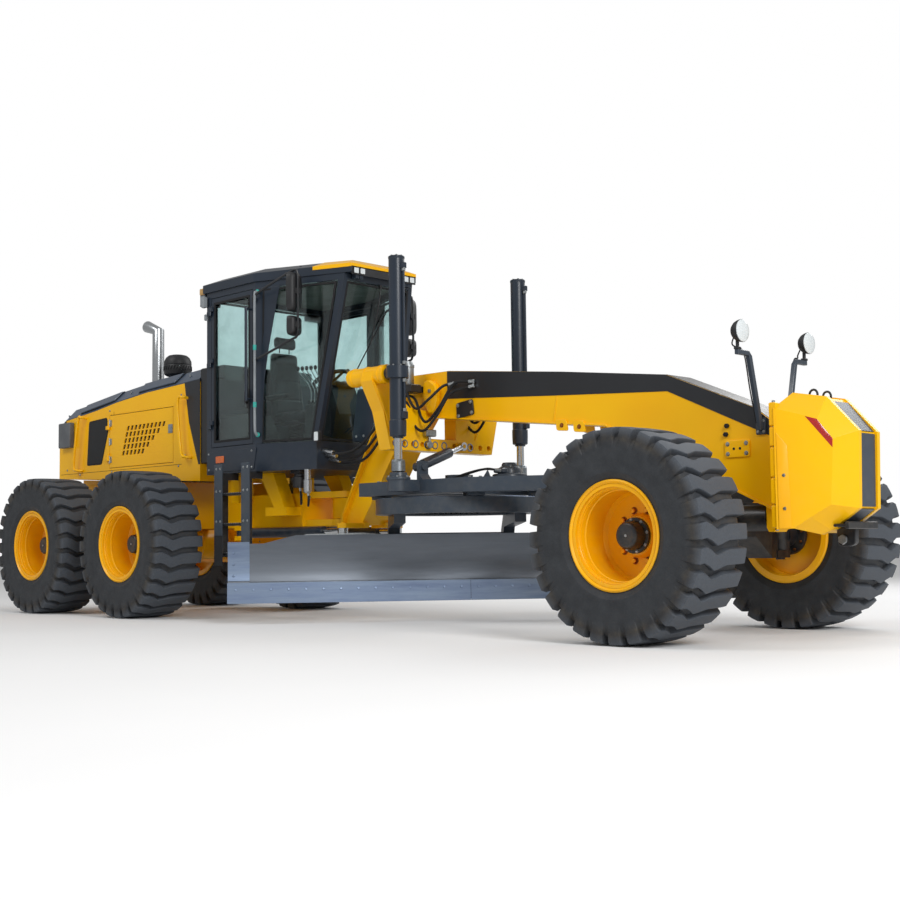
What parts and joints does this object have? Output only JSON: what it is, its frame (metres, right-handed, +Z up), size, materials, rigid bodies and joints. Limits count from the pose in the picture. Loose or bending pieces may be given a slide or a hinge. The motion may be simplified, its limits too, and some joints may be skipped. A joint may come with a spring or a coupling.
{
  "type": "motor grader",
  "caption": "Articulated motor grader with a glazed cab, arched front frame, tandem rear wheels and an angled blade slung on a turning circle, for levelling roads and ground.",
  "frame": {"origin": "on the ground below the middle of the whole machine's bounding box, blade included", "axes": "+X is forward (towards the front wheels and counterweight), +Y is the machine's left, +Z is up; metres"},
  "size_m": [9.74, 3.4442, 3.27],
  "materials": {
    "yellow_paint": "gloss yellow enamel",
    "navy_paint": "satin dark blue-grey enamel",
    "chrome": "hard chrome",
    "tyre": "dusty grey-black rubber",
    "edge_steel": "bare blue-grey steel",
    "glass": "green-tinted clear glass",
    "black_plastic": "matt black",
    "engine_grey": "painted casting"
  },
  "bodies": {
    "rear_frame": {"rear_frame": "yellow_paint", "rear_axle_housing": "navy_paint", "tandem_case_left": "yellow_paint", "tandem_case_right": "yellow_paint", "hood": "yellow_paint", "engine_block": "engine_grey", "exhaust_stack": "chrome", "air_precleaner": "black_plastic", "cab_frame": "navy_paint", "cab_glass": "glass", "cab_roof": "yellow_paint", "operator_seat": "black_plastic", "steering_console": "black_plastic", "mirrors": "black_plastic", "ladders": "navy_paint", "handrails": "black_plastic", "tail_lamps": "black_plastic"},
    "front_frame": {"front_frame": "yellow_paint", "blade_saddle": "yellow_paint", "counterweight": "yellow_paint", "front_lamps": "black_plastic", "front_axle": "navy_paint"},
    "drawbar_coupling": {"drawbar_ball": "edge_steel"},
    "drawbar": {"drawbar": "navy_paint", "circle_drive": "engine_grey"},
    "circle": {"circle": "navy_paint"},
    "blade_carrier": {"blade_carrier": "navy_paint"},
    "moldboard": {"moldboard": "navy_paint", "cutting_edge": "edge_steel"},
    "tie_rod": {"tie_rod": "navy_paint"},
    "shift_rod": {"shift_rod": "chrome"},
    "shift_cylinder": {"shift_cylinder": "navy_paint"},
    "cab_door_right": {"cab_door_right": "navy_paint", "cab_door_glass_right": "glass"},
    "hood_door_right": {"hood_door_right": "yellow_paint"},
    "steering_knuckle_right": {"steering_knuckle_right": "navy_paint"},
    "wheel_front_right": {"tyre_front_right": "tyre", "rim_front_right": "yellow_paint"},
    "wheel_middle_right": {"tyre_middle_right": "tyre", "rim_middle_right": "yellow_paint"},
    "wheel_rear_right": {"tyre_rear_right": "tyre", "rim_rear_right": "yellow_paint"},
    "lift_cylinder_right": {"lift_cylinder_right": "navy_paint"},
    "lift_rod_right": {"lift_rod_right": "chrome"},
    "articulation_cylinder_right": {"articulation_cylinder_right": "navy_paint"},
    "articulation_rod_right": {"articulation_rod_right": "chrome"},
    "cab_door_left": {"cab_door_left": "navy_paint", "cab_door_glass_left": "glass"},
    "hood_door_left": {"hood_door_left": "yellow_paint"},
    "steering_knuckle_left": {"steering_knuckle_left": "navy_paint"},
    "wheel_front_left": {"tyre_front_left": "tyre", "rim_front_left": "yellow_paint"},
    "wheel_middle_left": {"tyre_middle_left": "tyre", "rim_middle_left": "yellow_paint"},
    "wheel_rear_left": {"tyre_rear_left": "tyre", "rim_rear_left": "yellow_paint"},
    "lift_cylinder_left": {"lift_cylinder_left": "navy_paint"},
    "lift_rod_left": {"lift_rod_left": "chrome"},
    "articulation_cylinder_left": {"articulation_cylinder_left": "navy_paint"},
    "articulation_rod_left": {"articulation_rod_left": "chrome"}
  },
  "joints": [
    {"name": "articulation", "type": "hinge", "parent": "rear_frame", "child": "front_frame", "pos_m": [-0.425, -0.36524, 1.02], "axis": [0, 0, 1], "range_deg": [-20, 20]},
    {"name": "wheel_middle_right_spin", "type": "hinge", "parent": "rear_frame", "child": "wheel_middle_right", "pos_m": [-2.28, -1.42174, 0.7146], "axis": [0, 1, 0], "continuous": true},
    {"name": "wheel_middle_left_spin", "type": "hinge", "parent": "rear_frame", "child": "wheel_middle_left", "pos_m": [-2.28, 0.69126, 0.7146], "axis": [0, 1, 0], "continuous": true},
    {"name": "wheel_rear_right_spin", "type": "hinge", "parent": "rear_frame", "child": "wheel_rear_right", "pos_m": [-4.018, -1.42174, 0.7146], "axis": [0, 1, 0], "continuous": true},
    {"name": "wheel_rear_left_spin", "type": "hinge", "parent": "rear_frame", "child": "wheel_rear_left", "pos_m": [-4.018, 0.69126, 0.7146], "axis": [0, 1, 0], "continuous": true},
    {"name": "steer_left", "type": "hinge", "parent": "front_frame", "child": "steering_knuckle_left", "pos_m": [3.725, 0.39476, 0.7146], "axis": [0, 0, 1], "range_deg": [-45, 45]},
    {"name": "steer_right", "type": "hinge", "parent": "front_frame", "child": "steering_knuckle_right", "pos_m": [3.725, -1.12524, 0.7146], "axis": [0, 0, 1], "range_deg": [-45, 45]},
    {"name": "tie_rod_turn", "type": "hinge", "parent": "steering_knuckle_left", "child": "tie_rod", "pos_m": [3.475, 0.39476, 0.5746], "axis": [0, 0, 1], "range_deg": [-45, 45]},
    {"name": "wheel_front_right_spin", "type": "hinge", "parent": "steering_knuckle_right", "child": "wheel_front_right", "pos_m": [3.725, -1.42174, 0.7146], "axis": [0, 1, 0], "continuous": true},
    {"name": "wheel_front_left_spin", "type": "hinge", "parent": "steering_knuckle_left", "child": "wheel_front_left", "pos_m": [3.725, 0.69126, 0.7146], "axis": [0, 1, 0], "continuous": true},
    {"name": "drawbar_lift", "type": "hinge", "parent": "front_frame", "child": "drawbar_coupling", "pos_m": [3.175, -0.36524, 1.12], "axis": [0, 1, 0], "range_deg": [-10.7, 4.2]},
    {"name": "drawbar_swing", "type": "hinge", "parent": "drawbar_coupling", "child": "drawbar", "pos_m": [3.175, -0.36524, 1.12], "axis": [0, 0, 1], "range_deg": [-5.5, 5.5]},
    {"name": "circle_turn", "type": "hinge", "parent": "drawbar", "child": "circle", "pos_m": [1.075, -0.36524, 1], "axis": [0, 0, -1], "range_deg": [-82, 6]},
    {"name": "blade_tilt", "type": "hinge", "parent": "circle", "child": "blade_carrier", "pos_m": [0.57274, 0.03142, 0.34], "axis": [0.6198, 0.7848, 0], "range_deg": [-6, 40]},
    {"name": "blade_side_shift", "type": "slide", "parent": "blade_carrier", "child": "moldboard", "axis": [0.6198, 0.7848, 0], "range_m": [-0.5, 0.5]},
    {"name": "lift_cylinder_right_swing", "type": "hinge", "parent": "front_frame", "child": "lift_cylinder_right", "pos_m": [1.115, -1.11524, 2.09], "axis": [1, 0, 0], "range_deg": [-14.6, 14.6]},
    {"name": "lift_rod_right_slide", "type": "slide", "parent": "lift_cylinder_right", "child": "lift_rod_right", "axis": [0, 0, 1], "range_m": [-0.39, 0.155]},
    {"name": "lift_cylinder_left_swing", "type": "hinge", "parent": "front_frame", "child": "lift_cylinder_left", "pos_m": [1.115, 0.38476, 2.09], "axis": [1, 0, 0], "range_deg": [-14.6, 14.6]},
    {"name": "lift_rod_left_slide", "type": "slide", "parent": "lift_cylinder_left", "child": "lift_rod_left", "axis": [0, 0, 1], "range_m": [-0.39, 0.155]},
    {"name": "shift_rod_swing", "type": "hinge", "parent": "front_frame", "child": "shift_rod", "pos_m": [0.925, -0.16524, 1.53], "axis": [1, 0, 0], "range_deg": [-11.9, 30.1]},
    {"name": "shift_cylinder_slide", "type": "slide", "parent": "shift_rod", "child": "shift_cylinder", "axis": [0.2139, -0.9357, -0.2807], "range_m": [-0.188, 0.188]},
    {"name": "articulation_cylinder_right_swing", "type": "hinge", "parent": "rear_frame", "child": "articulation_cylinder_right", "pos_m": [-1.525, -0.75024, 0.805], "axis": [0, 0, 1], "range_deg": [-4.6, 4.6]},
    {"name": "articulation_rod_right_slide", "type": "slide", "parent": "articulation_cylinder_right", "child": "articulation_rod_right", "axis": [0.9993, 0.0379, 0], "range_m": [-0.12, 0.12]},
    {"name": "articulation_cylinder_left_swing", "type": "hinge", "parent": "rear_frame", "child": "articulation_cylinder_left", "pos_m": [-1.525, 0.01976, 0.805], "axis": [0, 0, 1], "range_deg": [-4.6, 4.6]},
    {"name": "articulation_rod_left_slide", "type": "slide", "parent": "articulation_cylinder_left", "child": "articulation_rod_left", "axis": [0.9993, -0.0379, 0], "range_m": [-0.12, 0.12]},
    {"name": "cab_door_right_hinge", "type": "hinge", "parent": "rear_frame", "child": "cab_door_right", "pos_m": [-1.512, -1.13224, 2.3], "axis": [0, 0, -1], "range_deg": [0, 95]},
    {"name": "hood_door_right_hinge", "type": "hinge", "parent": "rear_frame", "child": "hood_door_right", "pos_m": [-3.678, -0.94224, 1.8], "axis": [0, 0, -1], "range_deg": [0, 80]},
    {"name": "cab_door_left_hinge", "type": "hinge", "parent": "rear_frame", "child": "cab_door_left", "pos_m": [-1.512, 0.40176, 2.3], "axis": [0, 0, 1], "range_deg": [0, 95]},
    {"name": "hood_door_left_hinge", "type": "hinge", "parent": "rear_frame", "child": "hood_door_left", "pos_m": [-3.678, 0.21176, 1.8], "axis": [0, 0, 1], "range_deg": [0, 80]}
  ],
  "couplings": [
    {"joint": "steer_right", "follows": "steer_left", "ratio": 1},
    {"joint": "tie_rod_turn", "follows": "steer_left", "ratio": -1},
    {"joint": "lift_cylinder_right_swing", "follows": "drawbar_swing", "ratio": -2.64},
    {"joint": "lift_rod_right_slide", "follows": "drawbar_lift", "m_per_rad": 2.06},
    {"joint": "lift_cylinder_left_swing", "follows": "drawbar_swing", "ratio": -2.64},
    {"joint": "lift_rod_left_slide", "follows": "drawbar_lift", "m_per_rad": 2.06},
    {"joint": "shift_rod_swing", "follows": "drawbar_lift", "ratio": -2.8},
    {"joint": "shift_cylinder_slide", "follows": "drawbar_swing", "m_per_rad": 1.95},
    {"joint": "articulation_cylinder_right_swing", "follows": "articulation", "ratio": 0.2285},
    {"joint": "articulation_rod_right_slide", "follows": "articulation", "m_per_rad": 0.34},
    {"joint": "articulation_cylinder_left_swing", "follows": "articulation", "ratio": 0.2285},
    {"joint": "articulation_rod_left_slide", "follows": "articulation", "m_per_rad": -0.34}
  ]
}
